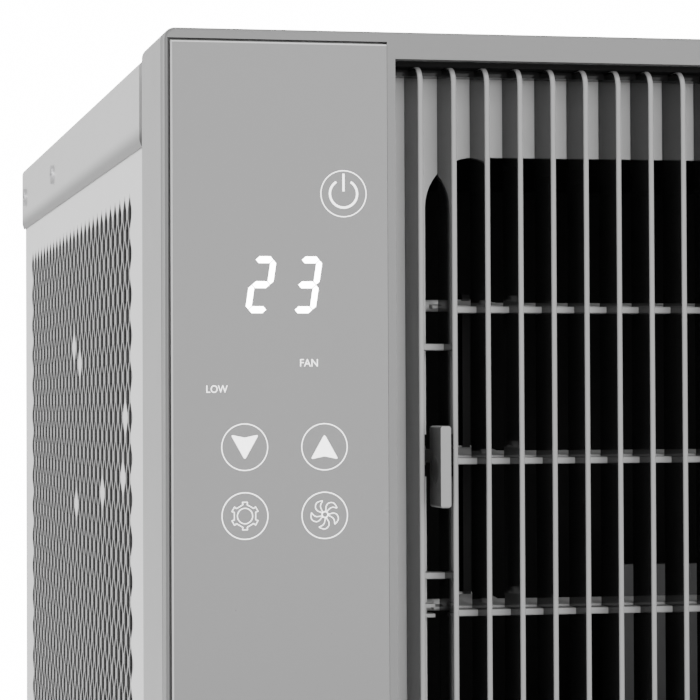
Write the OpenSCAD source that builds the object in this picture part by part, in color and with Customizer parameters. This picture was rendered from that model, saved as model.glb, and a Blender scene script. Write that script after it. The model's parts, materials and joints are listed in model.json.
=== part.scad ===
// Window air conditioner, chassis and cabinet, in millimetres.
// X runs along the width (right is +X seen from the room), Y from the room (-Y) to outdoors (+Y), Z up.
// The origin is on the underside, at the middle of the overall width and depth.

/* [Cabinet] */
// overall width of the front bezel
body_w = 450; // [444:1:470]
// overall height of the front bezel
body_h = 345; // [344:1:352]
// position of the front face along Y (negative is towards the room)
front_y = -200; // [-201:0.5:-199]
// depth of the front trim ring
trim_d = 4.2; // [3.8:0.1:4.6]
// rounding of the trim ring's front edge
trim_r = 1; // [0.8:0.1:1]
// depth of the bezel, trim ring included
bezel_d = 41.4; // [41:0.1:42]
// thickness of the cabinet's sheet metal
sheet_t = 1; // [0.8:0.1:1.2]
// height of the top cover's side flange
flange_h = 23; // [20:0.5:26]

/* [Control panel] */
// left edge of the touch glass
glass_x = -223.25; // [-223.4:0.05:-223]
// width of the touch glass
glass_w = 54.4; // [54:0.1:54.6]
// thickness of the touch glass
glass_t = 2.4; // [2:0.1:2.5]

/* [Grille] */
// number of vertical slats
slat_n = 44; // [40:1:44]
// distance from one slat to the next
slat_pitch = 8.6; // [8.5:0.01:8.6]
// thickness of a slat
slat_t = 1.36; // [1.2:0.02:1.5]
// depth of a slat, front to back
slat_d = 15.8; // [14:0.1:15.8]
// radius where a slat turns back at its top
slat_r = 5; // [4:0.5:6]
// height of the middle rib row
rib_z = 237.3; // [236.5:0.1:238]
// distance from one rib row to the next
rib_pitch = 38.5; // [38.3:0.1:38.7]

/* [Louvers] */
// width of a louver blade, front to back
blade_chord = 10.4; // [9.5:0.1:10.5]
// thickness of a louver blade
blade_t = 1; // [0.9:0.1:1.2]
// tilt of the blades as built, front edge down
blade_tilt = 6; // [4:0.5:8]
// radius of the louver pivot pins
pivot_r = 1.5; // [1.4:0.05:1.5]

/* [Fans] */
// height of the fan shaft
axis_z = 128; // [127.5:0.5:129]
// sideways position of the fan shaft
axis_x = 10; // [8:1:12]
// outer radius of the blower wheel
wheel_r = 66; // [62:1:68]
// number of blower blades
wheel_blades = 36; // [24:1:40]
// outer radius of the condenser fan's slinger ring
fan_r = 118; // [114:0.5:118]
// number of condenser fan blades
fan_blades = 5; // [4:1:6]

/* [Hidden] */
$fn = 64;

half_w = body_w / 2;
eye_z = 250.5;                            // reference height the front's features are set out from
corner_r = 3;                             // corner radius of the bezel, seen from the front
groove = 0.8;                             // parting groove between trim ring and housing
wall = 2.5;                               // wall of the front housing
housing_y = front_y + trim_d + groove;    // front of the housing
housing_back = front_y + bezel_d;
recess_x0 = glass_x + glass_w + 2.28;     // grille recess, left side
slat_x0 = recess_x0 + 5.78;               // left face of the first slat
recess_x1 = slat_x0 + (slat_n - 1) * slat_pitch + slat_t + 5.8;
recess_z0 = 8.5;
recess_z1 = 338.2;
slat_z0 = 12;
slat_z1 = 336.8;
slat_back = front_y + slat_d;
rib_h = 1.7;
rib_y0 = front_y + 9.7;
rib_y1 = front_y + 14.6;
panel_y0 = front_y + 16.2;                // duct panel, close behind the slats
panel_t = 2;
recess_back = front_y + 26;               // rear end of the recess walls
outlet = [[-155.4, 205], [159.4, 315.2]]; // air outlet in the duct panel: X, Z
outlet_r = 13;
intake = [[-150, 200], [36, 144]];        // air intake in the duct panel: X, Z
intake_r = 8;
pivot_y = front_y + 21.7;
pivot_dz = 1.4;                           // pivots sit this far above their rib row
blade_x0 = outlet[0][0] + 1.9;
blade_x1 = outlet[0][1] - 1.5;
lever_x = -155.9;
lever_t = 2.6;
link_arm = 16;                            // pivot to link pin
link_x = -140;
ear_w = 11.7;
running = 0.05;                           // radial clearance of the running fits
filter_y = front_y + 28;
filter_t = 4;
filter_x0 = -154;
cab_y0 = front_y + 47.1;                  // front edge of the cabinet sheets
cab_y1 = 198;
cab_top = eye_z + 92.2;
flange_z = cab_top - flange_h;
cover_r = 2.5;                            // shoulder radius of the top cover
ease_h = 2.5;                             // height over which a flange's lower edge eases in
ease_r = 5;
panel_x = half_w - sheet_t - 0.2;         // outer face of the side panels
perf_y0 = front_y + 62.8;
pan_t = 1.5;
evap = [[-150, 190], [-142, -116], [26, 150]];   // evaporator: X, Y, Z
cond = [[-195, 195], [152, 182], [5, 328]];       // condenser: X, Y, Z
shaft_r = 4;
motor_r = 56;
motor_y = [-18, 66];
bulk_y = -26;
wheel_y = [-102, -38];
inlet_y = [-112, -107];
inlet_w = 92;                             // half width of the scroll and its inlet plate
fan_y = [94, 122];
comp = [158, 43];                         // compressor axis: X, Y
comp_r = 51;
comp_feet = [60, 180, 300];
foot_r = comp_r + 10.5;                   // compressor axis to foot bolt
stub = [30, 219];                         // discharge stub: distance from the axis, top
accu = [87, -2];                          // accumulator axis: X, Y
guard_y1 = 207.8;
rail_holes = 300;                         // spacing of the window rail's screw holes
sill_holes = 320;                         // spacing of the sill bracket's screw holes
drain = [-150, 100];                      // drain port: X, Y
drain_r = 8;
gland_r = 5;
gland_y = housing_back - 15.4;
gland_z = 15;
neck_y = [-166, -146];                    // dark neck between bezel and cabinet
filter_z = [32, 148];
top_screws = [75, 180];                   // cabinet screws, along Y
low_screws = [-110, 60, 180];
bezel_screw_x = 150;
plate_t = 1.2;                            // coil end plates

silver = [0.72, 0.72, 0.73];
dark = [0.12, 0.12, 0.13];
steel = [0.76, 0.77, 0.78];
copper = [0.72, 0.43, 0.25];
foam = [0.9, 0.9, 0.88];

// ---- helpers ----

// a box given by its low and high X, Y and Z
module span(x, y, z) {
    translate([x[0], y[0], z[0]]) cube([x[1] - x[0], y[1] - y[0], z[1] - z[0]]);
}

// a front-view outline (X, Z) carried along +Y
module along_y(y0, len) {
    translate([0, y0 + len, 0]) rotate([90, 0, 0]) linear_extrude(len) children();
}

// a side-view outline (Y, Z) carried along +X
module along_x(x0, len) {
    translate([x0, 0, 0]) rotate([90, 0, 90]) linear_extrude(len) children();
}

// a rod along Y
module rod_y(x, z, y0, y1, r) {
    translate([x, y0, z]) rotate([-90, 0, 0]) cylinder(h = y1 - y0, r = r);
}

// a rod along X
module rod_x(y, z, x0, x1, r) {
    translate([x0, y, z]) rotate([0, 90, 0]) cylinder(h = x1 - x0, r = r);
}

// outline of a rectangle with round corners
module rounded(x0, x1, z0, z1, r) {
    translate([x0 + r, z0]) square([x1 - x0 - 2 * r, z1 - z0]);
    translate([x0, z0 + r]) square([x1 - x0, z1 - z0 - 2 * r]);
    for (x = [x0 + r, x1 - r], z = [z0 + r, z1 - r]) translate([x, z]) circle(r);
}

// outline of the bezel, drawn in by d
module bezel_outline(d) {
    rounded(-half_w + d, half_w - d, d, body_h - d, max(corner_r - d, 0.5));
}

// a tube bend: angle a about its own Z, bend radius rb, tube radius r
module bend(a, rb, r) {
    rotate_extrude(angle = a) translate([rb, 0]) circle(r);
}

// ---- front ----

module front_trim() {
    w = half_w - corner_r;
    ring = corner_r - trim_r;
    zc = body_h - corner_r;
    glass_x1 = glass_x + glass_w;
    color(silver) difference() {
        union() {
            along_y(front_y + trim_r, trim_d - trim_r) bezel_outline(0);
            along_y(front_y, trim_r) bezel_outline(trim_r);
            for (z = [trim_r, body_h - trim_r]) rod_x(front_y + trim_r, z, -w, w, trim_r);
            for (x = [-half_w + trim_r, half_w - trim_r])
                translate([x, front_y + trim_r, corner_r]) cylinder(h = zc - corner_r, r = trim_r);
            for (c = [[w, corner_r], [-w, corner_r], [w, zc], [-w, zc]])
                translate([c[0], front_y + trim_r, c[1]]) rotate([90, 0, 0])
                    rotate_extrude() translate([ring, 0]) circle(trim_r);
            // plug that centres the ring in the housing
            difference() {
                along_y(front_y + trim_d - 0.2, 4.2) bezel_outline(wall + 0.4);
                along_y(front_y, 20) bezel_outline(wall + 2);
            }
        }
        // seat of the touch glass and the window behind it
        span([-half_w + trim_r, glass_x1 + 0.2], [front_y - 1, front_y + glass_t + 0.2], [2.6, 342.4]);
        span([glass_x + 4, glass_x1 - 4], [front_y - 1, front_y + 20], [190, 330]);
        // grille recess
        span([recess_x0, recess_x1], [front_y - 1, front_y + 20], [recess_z0, recess_z1]);
    }
}

module front_housing() {
    t = 1.8;
    y1 = recess_back;
    color(silver) difference() {
        union() {
            difference() {
                along_y(housing_y, housing_back - housing_y) bezel_outline(0);
                along_y(housing_y - 1, housing_back - housing_y + 2) bezel_outline(wall);
            }
            // walls of the grille recess
            difference() {
                span([recess_x0 - t, recess_x1 + t], [housing_y + 4, y1], [recess_z0 - t, recess_z1 + t]);
                span([recess_x0, recess_x1], [housing_y, y1 + 1], [recess_z0, recess_z1]);
            }
            // webs that tie the recess to the shell
            for (z = [60, 150, 260]) {
                span([recess_x1 + 1, half_w - 1], [housing_y + 6, y1], [z, z + 2]);
                span([-half_w + 1, recess_x0 - 1], [y1 - 6, y1], [z + 40, z + 42]);
            }
            for (x = [-120, 30, 180])
                span([x, x + 2], [housing_y + 6, y1], [recess_z1 + 1, body_h - 1]);
            for (x = [-120, 30, 180])
                span([x, x + 2], [housing_y + 6, y1], [1, recess_z0 - 1]);
            // boss for the cord gland
            rod_x(gland_y, gland_z, half_w - 4, half_w - 1, gland_r + 5);
        }
        // room for the neck behind the boss
        span([half_w - 6, half_w - wall], [neck_y[0] - 0.3, housing_back + 1], [gland_z - 12, gland_z + 12]);
        // slot the filter is drawn out of
        span([recess_x1 + 1, half_w + 1], [filter_y - 0.6, filter_y + filter_t + 0.6], [filter_z[0] - 1, filter_z[1] + 1]);
        // hole for the cord gland
        rod_x(gland_y, gland_z, half_w - 6, half_w + 1, gland_r + 2.6);
        // bezel screws, from above and below
        for (x = [-bezel_screw_x, bezel_screw_x])
            translate([x, housing_back - 4.5, -1]) cylinder(h = body_h + 2, r = 1.8);
    }
}

module control_glass() {
    color([0.66, 0.67, 0.67]) span([glass_x, glass_x + glass_w], [front_y, front_y + glass_t], [3.2, 341.8]);
}

module control_board() {
    y = front_y + 10.4;
    color([0.1, 0.35, 0.2]) difference() {
        span([glass_x + 6, glass_x + 48], [y, y + 1.6], [206, 322]);
        for (x = [glass_x + 9, glass_x + 45], z = [209, 319]) rod_y(x, z, y - 1, y + 3, 1.5);
    }
    color(dark) {
        span([glass_x + 12, glass_x + 26], [y + 1.6, y + 4], [290, 304]);
        span([glass_x + 30, glass_x + 42], [y + 1.6, y + 8], [212, 220]);
        // touch pads, pressed against the back of the glass
        for (x = [18.2, 38.25], z = [224.4, 241.4])
            rod_y(glass_x + x, z, front_y + glass_t + 0.1, y, 3.2);
        rod_y(glass_x + 43.3, 304.2, front_y + glass_t + 0.1, y, 3.2);
    }
}

module display_module() {
    color([0.93, 0.93, 0.93])
        span([glass_x + 16, glass_x + 41], [front_y + glass_t + 0.3, front_y + 10.4], [270, 293]);
}

// ---- grille, duct panel and louvers ----

module slat_outline() {
    difference() {
        translate([front_y, slat_z0]) square([slat_d, slat_z1 - slat_z0]);
        for (z = [slat_z0 - 1, slat_z1 - slat_r]) translate([front_y - 1, z]) square(slat_r + 1);
    }
    for (z = [slat_z0 + slat_r, slat_z1 - slat_r]) translate([front_y + slat_r, z]) circle(slat_r);
}

module front_grille() {
    x1 = slat_x0 + (slat_n - 1) * slat_pitch + slat_t;
    first_gap = slat_x0 + slat_pitch + 0.5;
    color(silver) {
        for (i = [0:slat_n - 1]) along_x(slat_x0 + i * slat_pitch, slat_t) slat_outline();
        // rib rows; the rows the lever passes start one gap further in
        for (j = [-5:1]) {
            z = rib_z + j * rib_pitch;
            x0 = j >= -1 ? first_gap : slat_x0 + 0.3;
            span([x0, x1 - 0.3], [rib_y0, rib_y1], [z - rib_h / 2, z + rib_h / 2]);
        }
        for (z = [rib_z - 28.95, rib_z + 29])
            span([slat_x0 + 0.5, slat_x0 + slat_pitch + 0.7], [rib_y0, rib_y1], [z - rib_h / 2, z + rib_h / 2]);
        // top and bottom rails, reaching out to the recess walls
        for (z = [slat_z0, slat_z1 - 1.6])
            span([recess_x0 + 0.2, recess_x1 - 0.2], [rib_y0 + 1, slat_back], [z, z + 1.6]);
    }
}

module pivot_block(x0, x1, z) {
    difference() {
        span([x0, x1], [panel_y0 + panel_t - 0.5, pivot_y + 4.3], [z - 3.2, z + 3.2]);
        rod_x(pivot_y, z, x0 - 1, x1 + 1, pivot_r + running);
    }
}

module duct_panel() {
    color([0.62, 0.62, 0.62]) {
        along_y(panel_y0, panel_t) difference() {
            translate([recess_x0 + 0.3, recess_z0 + 0.3])
                square([recess_x1 - recess_x0 - 0.6, recess_z1 - recess_z0 - 0.6]);
            rounded(outlet[0][0], outlet[0][1], outlet[1][0], outlet[1][1], outlet_r);
            rounded(intake[0][0], intake[0][1], intake[1][0], intake[1][1], intake_r);
            // slot the lever's stem swings in
            translate([lever_x - lever_t / 2 - 0.9, rib_z + pivot_dz - 5.4]) square([lever_t + 2, 10.8]);
        }
        // shelf that parts the outlet from the intake
        span([recess_x0 + 0.3, recess_x1 - 0.3], [panel_y0 + panel_t - 0.5, recess_back - 0.1], [150.4, 151.9]);
        for (j = [-1:1]) {
            z = rib_z + j * rib_pitch + pivot_dz;
            pivot_block(-162.2, -158.9, z);
            pivot_block(206.4, 209.6, z);
        }
    }
}

module stop_bracket() {
    z = rib_z - rib_pitch + 0.6;
    color(silver) difference() {
        span([-157.6, -154.2], [front_y + 12, panel_y0 - 0.4], [z - 1.7, z + 1.7]);
        span([-156.6, -154], [front_y + 11, panel_y0], [z - 0.8, z + 0.8]);
    }
    // foot on the first slat
    color(silver) span([slat_x0 + slat_t, -157.5], [front_y + 12.4, slat_back], [z - 1.7, z + 1.7]);
}

module blade(row, x0) {
    z = rib_z + row * rib_pitch + pivot_dz;
    c = blade_chord / 2;
    color([0.55, 0.55, 0.55]) translate([0, pivot_y, z]) rotate([blade_tilt, 0, 0]) {
        along_x(blade_x0, blade_x1 - blade_x0) {
            translate([-c + blade_t / 2, -blade_t / 2]) square([2 * c - blade_t, blade_t]);
            for (s = [-1, 1]) translate([s * (c - blade_t / 2), 0]) circle(blade_t / 2);
        }
        // rounded tab and the ear that holds the link
        translate([link_x, 0, -blade_t / 2]) linear_extrude(blade_t) {
            translate([-ear_w / 2, 0]) square([ear_w, c + 1.5]);
            translate([0, c + 1.5]) circle(ear_w / 2);
        }
        along_x(link_x - 4.2, 1.6) {
            translate([c + 0.5, -2]) square([link_arm - c - 0.5, 2]);
            translate([link_arm, -0.5]) circle(2.2);
        }
        rod_x(link_arm, -0.5, link_x - 4, link_x + 1.6, 1.1);
        // pivot pins
        rod_x(0, 0, x0, blade_x0 + 6, pivot_r);
        rod_x(0, 0, blade_x1 - 6, 209.4, pivot_r);
    }
}

module louver_top() { blade(1, -162); }
module louver_bottom() { blade(-1, -162); }
module louver_middle() { blade(0, -162); }

module louver_lever() {
    z = rib_z + pivot_dz;
    head = [[front_y - 7.8, front_y + 4.5], [eye_z - 24.5, eye_z - 4.1]];
    x = [lever_x - lever_t / 2, lever_x + lever_t / 2];
    color(silver) difference() {
        union() {
            // thumb plate, rounded as seen from the side and from the front
            intersection() {
                along_x(x[0] - 1, lever_t + 2) rounded(head[0][0], head[0][1], head[1][0], head[1][1], 0.5);
                along_y(head[0][0] - 1, 16) rounded(x[0], x[1], head[1][0], head[1][1], 0.8);
            }
            along_x(x[0], lever_t) {
                translate([head[0][1] - 1, z - 1.6]) square([pivot_y - head[0][1] + 1, 3.2]);
                translate([pivot_y, z]) circle(2.6);
            }
        }
        rod_x(pivot_y, z, lever_x - 3, lever_x + 3, pivot_r + 0.02);
        // thumb hollow in the left face
        translate([lever_x - lever_t / 2 - 7.4, front_y - 1.6, eye_z - 15.2]) sphere(r = 8.2);
    }
}

module louver_link() {
    a = blade_tilt;
    y = pivot_y + link_arm * cos(a) + 0.5 * sin(a);
    dz = link_arm * sin(a) - 0.5 * cos(a) + pivot_dz;
    z0 = rib_z - rib_pitch + dz;
    z2 = rib_z + rib_pitch + dz;
    color(dark) difference() {
        along_x(link_x - 1, 2) {
            translate([y - 2, z0]) square([4, z2 - z0]);
            for (z = [z0, z2]) translate([y, z]) circle(2.6);
        }
        for (j = [-1:1]) rod_x(y, rib_z + j * rib_pitch + dz, link_x - 3, link_x + 3, 1.1 + running);
    }
}

// ---- filter and sensor ----

module filter_frame() {
    x1 = half_w - 0.6;
    z0 = filter_z[0];
    z1 = filter_z[1];
    color(dark) difference() {
        union() {
            span([filter_x0, x1 - 20], [filter_y, filter_y + filter_t], filter_z);
            // pull tab, flush with the side
            span([x1 - 21, x1], [filter_y, filter_y + filter_t], [z0 + 38, z1 - 38]);
        }
        filter_windows(filter_y - 1, filter_y + filter_t + 1);
        span([x1 - 12, x1 - 6], [filter_y - 1, filter_y + 1.4], [z0 + 44, z1 - 44]);
    }
}

// the eight panes of the filter frame
module filter_windows(y0, y1) {
    w = 82;
    h = (filter_z[1] - filter_z[0] - 14) / 2;
    for (i = [0:3], k = [0:1])
        span([filter_x0 + 5 + i * (w + 4), filter_x0 + 5 + i * (w + 4) + w], [y0, y1],
            [filter_z[0] + 5 + k * (h + 4), filter_z[0] + 5 + k * (h + 4) + h]);
}

module filter_mesh() {
    color([0.25, 0.27, 0.3]) filter_windows(filter_y + 1.7, filter_y + 2.3);
}

module room_sensor() {
    y = evap[1][0] - 4;
    color(copper) rod_x(y, 96, -40, -12, 2.5);
    color(dark) difference() {
        span([-34, -28], [y - 3.5, evap[1][0]], [92.5, 99.5]);
        rod_x(y, 96, -41, -11, 2.5);
    }
}

// ---- coils ----

module coil_plates(c) {
    for (x = [c[0][0] - plate_t, c[0][1]])
        span([x, x + plate_t], [c[1][0] - 2, c[1][1] + 2], [pan_t, c[2][1] + 2]);
}

// hairpin ends on both sides of a coil: n tubes high, two rows deep
module coil_ends(c, n, r) {
    step = (c[2][1] - c[2][0]) / n;
    row = (c[1][1] - c[1][0]) / 4;
    for (k = [0:n / 2 - 1]) for (q = [1, 3]) {
        z = c[2][0] + step * (2 * k + 1);
        y = c[1][0] + q * row;
        translate([c[0][0] - plate_t, y, z]) rotate([90, 0, 0]) rotate([0, 0, 90]) bend(180, step / 2, r);
        if (k < n / 2 - 1) translate([c[0][1] + plate_t, y, z + step]) rotate([90, 0, 0])
            rotate([0, 0, -90]) bend(180, step / 2, r);
    }
}

module evaporator_fins() {
    color(steel) span([evap[0][0] + 0.1, evap[0][1] - 0.1], evap[1], evap[2]);
}
module evaporator_plates() { color(steel) coil_plates(evap); }
module evaporator_tubes() { color(copper) coil_ends(evap, 6, 3.5); }
module condenser_fins() {
    color(steel) span([cond[0][0] + 0.1, cond[0][1] - 0.1], cond[1], cond[2]);
}
module condenser_plates() { color(steel) coil_plates(cond); }
module condenser_tubes() { color(copper) coil_ends(cond, 12, 3.5); }

// ---- air path indoors ----

module upper_duct() {
    x = [-160, 212];
    y = [recess_back + 0.2, bulk_y - 3];
    z = [154, 324];
    t = 6;
    color(dark) difference() {
        union() {
            span(x, y, z);
            // flange against the recess walls
            span([recess_x0 + 0.5, recess_x1 - 0.5], [y[0], y[0] + 2], [z[0] - 3, z[1] + 4]);
        }
        span([x[0] + t, x[1] - t], [y[0] - 1, y[1] - t], [z[0] + t - 3, z[1] - t]);
        // throat the scroll blows up through
        span([axis_x - inlet_w - 1, axis_x + inlet_w + 1], [inlet_y[0] - 0.6, y[1] - t], [z[0] - 1, z[0] + t + 1]);
    }
}

module scroll_housing() {
    y = [inlet_y[1] + 1, bulk_y - 3];
    near = wheel_r + 5;
    far = wheel_r + 10;
    color(foam) difference() {
        span([axis_x - inlet_w, axis_x + inlet_w], y, [34, 153.4]);
        along_y(y[0] - 1, y[1] - y[0] - 5) {
            // the scroll opens out towards the throat
            translate([axis_x, axis_z]) circle(near);
            translate([axis_x - far, axis_z]) square([near + far, 60]);
            intersection() {
                translate([axis_x, axis_z]) circle(far);
                translate([axis_x - far, axis_z - far]) square([far, far + 60]);
            }
        }
        rod_y(axis_x, axis_z, y[1] - 8, y[1] + 1, 12);
    }
}

// plate between coil and blower; its opening lies below the duct floor
module inlet_ring() {
    color(dark) difference() {
        span([axis_x - inlet_w, axis_x + inlet_w], inlet_y, [34, axis_z + wheel_r + 12]);
        intersection() {
            rod_y(axis_x, axis_z, inlet_y[0] - 1, inlet_y[1] + 1, wheel_r - 12);
            span([axis_x - inlet_w, axis_x + inlet_w], [inlet_y[0] - 1, inlet_y[1] + 1], [0, 150]);
        }
    }
}

module blower_wheel() {
    inner = wheel_r - 12;
    color(dark) difference() {
        union() {
            // blades, backplate, front ring and hub
            along_y(wheel_y[0] + 3, wheel_y[1] - wheel_y[0] - 5)
                for (i = [0:wheel_blades - 1]) translate([axis_x, axis_z]) rotate(i * 360 / wheel_blades)
                    translate([inner + 5.6, 0]) rotate(24) difference() {
                        translate([0, 0]) circle(6.4);
                        circle(5.4);
                        translate([-8, -16]) square([16, 16]);
                    }
            rod_y(axis_x, axis_z, wheel_y[1] - 2.2, wheel_y[1], wheel_r);
            difference() {
                rod_y(axis_x, axis_z, wheel_y[0], wheel_y[0] + 4, wheel_r);
                rod_y(axis_x, axis_z, wheel_y[0] - 1, wheel_y[0] + 5, inner + 1);
            }
            rod_y(axis_x, axis_z, wheel_y[1] - 22, wheel_y[1], 11);
        }
        rod_y(axis_x, axis_z, wheel_y[0] - 1, wheel_y[1] + 1, shaft_r);
    }
}

// ---- motor and outdoor fan ----

module motor_shaft() {
    color(steel) rod_y(axis_x, axis_z, wheel_y[1] - 24, fan_y[1] + 4, shaft_r);
}

module fan_motor() {
    color([0.2, 0.2, 0.22]) difference() {
        union() {
            rod_y(axis_x, axis_z, motor_y[0] + 8, motor_y[1] - 8, motor_r);
            rod_y(axis_x, axis_z, motor_y[0] + 2, motor_y[1] - 2, motor_r - 10);
            rod_y(axis_x, axis_z, motor_y[0] - 4, motor_y[1] + 4, 14);
            // mounting lugs
            for (a = [45:90:315]) translate([axis_x, motor_y[0] + 8, axis_z]) rotate([0, a, 0])
                translate([motor_r - 4, 0, -7]) cube([18, 4, 14]);
        }
        rod_y(axis_x, axis_z, motor_y[0] - 6, motor_y[1] + 6, shaft_r + 0.4);
        for (a = [45:90:315]) translate([axis_x, motor_y[0] + 7, axis_z]) rotate([0, a, 0])
            translate([motor_r + 8, 0, 0]) rotate([-90, 0, 0]) cylinder(h = 6, r = 2.2);
    }
}

module motor_bracket() {
    color(steel) {
        for (a = [45:90:315]) translate([axis_x, bulk_y + 1, axis_z]) rotate([0, a, 0])
            translate([motor_r + 8, 0, 0]) rotate([-90, 0, 0]) {
                cylinder(h = motor_y[0] + 8 - bulk_y - 1, r = 5);
                cylinder(h = motor_y[0] + 17 - bulk_y - 1, r = 2);
            }
    }
}

module bulkhead() {
    color(steel) difference() {
        union() {
            span([-panel_x + 3.2, panel_x - 3.2], [bulk_y, bulk_y + 1], [pan_t, cab_top - 2]);
            span([-panel_x + 3.2, panel_x - 3.2], [bulk_y, bulk_y + 12], [cab_top - 3.2, cab_top - 2.2]);
        }
        rod_y(axis_x, axis_z, bulk_y - 1, bulk_y + 2, 16);
        // notches for the tubes
        span([212, 230], [bulk_y - 1, bulk_y + 2], [133, 146]);
        span([208, 230], [bulk_y - 1, bulk_y + 2], [47, 55]);
    }
}

module condenser_fan() {
    color(dark) difference() {
        union() {
            rod_y(axis_x, axis_z, fan_y[0] + 1, fan_y[1], 26);
            for (i = [0:fan_blades - 1]) translate([axis_x, (fan_y[0] + fan_y[1]) / 2, axis_z])
                rotate([0, i * 360 / fan_blades, 0]) translate([22, 0, 0])
                    rotate([28, 0, 0]) translate([0, 1, 0]) rotate([90, 0, 0]) linear_extrude(2) {
                        polygon([[0, -13], [0, 13], [70, 24], [92, 22], [94, 0], [90, -20], [66, -22]]);
                    }
            // slinger ring that picks water up from the pan
            difference() {
                rod_y(axis_x, axis_z, fan_y[0] + 8, fan_y[1] - 6, fan_r);
                rod_y(axis_x, axis_z, fan_y[0], fan_y[1], fan_r - 7);
            }
        }
        rod_y(axis_x, axis_z, fan_y[0] - 9, fan_y[1] + 9, shaft_r);
        rod_y(axis_x, axis_z, fan_y[0] - 8, fan_y[0] + 12, 20);
    }
    color(dark) difference() {
        rod_y(axis_x, axis_z, fan_y[0] + 4, fan_y[1] - 2, 9);
        rod_y(axis_x, axis_z, fan_y[0], fan_y[1], shaft_r);
    }
}

module fan_shroud() {
    color(dark) difference() {
        union() {
            span([-206, 206], [cond[1][0] - 26, cond[1][0] - 24], [3, 332]);
            for (x = [-206, 204]) span([x, x + 2], [cond[1][0] - 26, cond[1][0] - 2.4], [3, 332]);
            span([-206, 206], [cond[1][0] - 26, cond[1][0] - 2.4], [330, 332]);
            rod_y(axis_x, axis_z, cond[1][0] - 44, cond[1][0] - 24, fan_r + 6);
        }
        rod_y(axis_x, axis_z, cond[1][0] - 60, cond[1][0] - 20, fan_r + 3.6);
    }
}

// ---- refrigeration circuit ----

module compressor() {
    color([0.1, 0.1, 0.1]) translate([comp[0], comp[1], 0]) {
        translate([0, 0, 30]) cylinder(h = 168, r = comp_r);
        translate([0, 0, 198]) intersection() {
            translate([0, 0, -40]) sphere(r = sqrt(40 * 40 + comp_r * comp_r));
            cylinder(h = 40, r = comp_r);
        }
        translate([stub[0], 0, 205]) cylinder(h = stub[1] - 205, r = 4.6);
        // three feet
        for (a = comp_feet) rotate(a) difference() {
            translate([comp_r - 14, -10.5, 27]) cube([34, 21, 3.2]);
            translate([foot_r, 0, 26]) cylinder(h = 6, r = 6.5);
        }
    }
}

module compressor_cover() {
    color(dark) translate([comp[0], comp[1], 0]) difference() {
        translate([0, 0, 219.5]) cylinder(h = 16, r = 17);
        translate([0, 0, 158.5]) sphere(r = sqrt(40 * 40 + comp_r * comp_r) + 0.2);
    }
}

module compressor_grommets() {
    for (a = comp_feet) translate([comp[0], comp[1], 0]) rotate(a) translate([foot_r, 0, 0]) {
        color(dark) difference() {
            union() {
                translate([0, 0, pan_t + 0.1]) cylinder(h = 25, r = 10);
                translate([0, 0, 26]) cylinder(h = 6, r = 6);
                translate([0, 0, 30.6]) cylinder(h = 3, r = 9);
            }
            translate([0, 0, 0]) cylinder(h = 40, r = 3);
        }
    }
}

module accumulator() {
    color(copper) translate([accu[0], accu[1], 0]) {
        translate([0, 0, 60]) cylinder(h = 110, r = 14);
        for (z = [60, 170]) translate([0, 0, z]) sphere(r = 14);
        translate([0, 0, 30]) cylinder(h = 20, r = 4);
        translate([0, 0, 180]) cylinder(h = 60, r = 4);
    }
}

// a quarter bend of radius rb about point p: plane "xy", "xz" or "yz", starting at angle a0
module quarter(p, plane, a0, rb, r, a = 90) {
    turn = plane == "xy" ? [0, 0, 0] : plane == "xz" ? [90, 0, 0] : [90, 0, 90];
    translate(p) rotate(turn) rotate([0, 0, a0]) bend(a, rb, r);
}

// from the coil's upper tube, through the bulkhead and over to the accumulator
module suction_tube() {
    q = 12;
    r = 4;
    j = 0.02;                             // braze gap at each joint
    z0 = evap[2][1] - (evap[2][1] - evap[2][0]) / 12;
    y0 = evap[1][1] - (evap[1][1] - evap[1][0]) / 4;
    x1 = 217.4;
    zt = 252;
    color(copper) {
        rod_x(y0, z0, evap[0][1] + plate_t, x1 - q - j, r);
        quarter([x1 - q, y0 + q, z0], "xy", -90, q, r);
        rod_y(x1, z0, y0 + q + j, -14 - j, r);
        quarter([x1, -14, z0 + q], "yz", -90, q, r);
        translate([x1, -14 + q, z0 + q + j]) cylinder(h = zt - q - z0 - q - 2 * j, r = r);
        quarter([x1 - q, -14 + q, zt - q], "xz", 0, q, r);
        rod_x(-14 + q, zt, accu[0] + q + j, x1 - q - j, r);
        quarter([accu[0] + q, -14 + q, zt - q], "xz", 90, q, r);
    }
}

// from the compressor's dome to the condenser's top tube
module discharge_tube() {
    q = 12;
    r = 3.2;
    x0 = comp[0] + stub[0];
    zs = stub[1] + 0.1;
    z1 = cond[2][1] - (cond[2][1] - cond[2][0]) / 24;
    y1 = cond[1][0] + (cond[1][1] - cond[1][0]) / 4;
    color(copper) {
        translate([x0, comp[1], zs]) cylinder(h = z1 - q - zs, r = r);
        quarter([x0 + q, comp[1], z1 - q], "xz", 90, q, r);
        quarter([x0 + q, comp[1] + q, z1], "xy", -90, q, r);
        rod_y(x0 + 2 * q, z1, comp[1] + q, y1 - q, r);
        quarter([x0 + q, y1 - q, z1], "xy", 0, q, r);
        rod_x(y1, z1, cond[0][1] + plate_t, x0 + q, r);
    }
}

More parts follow.
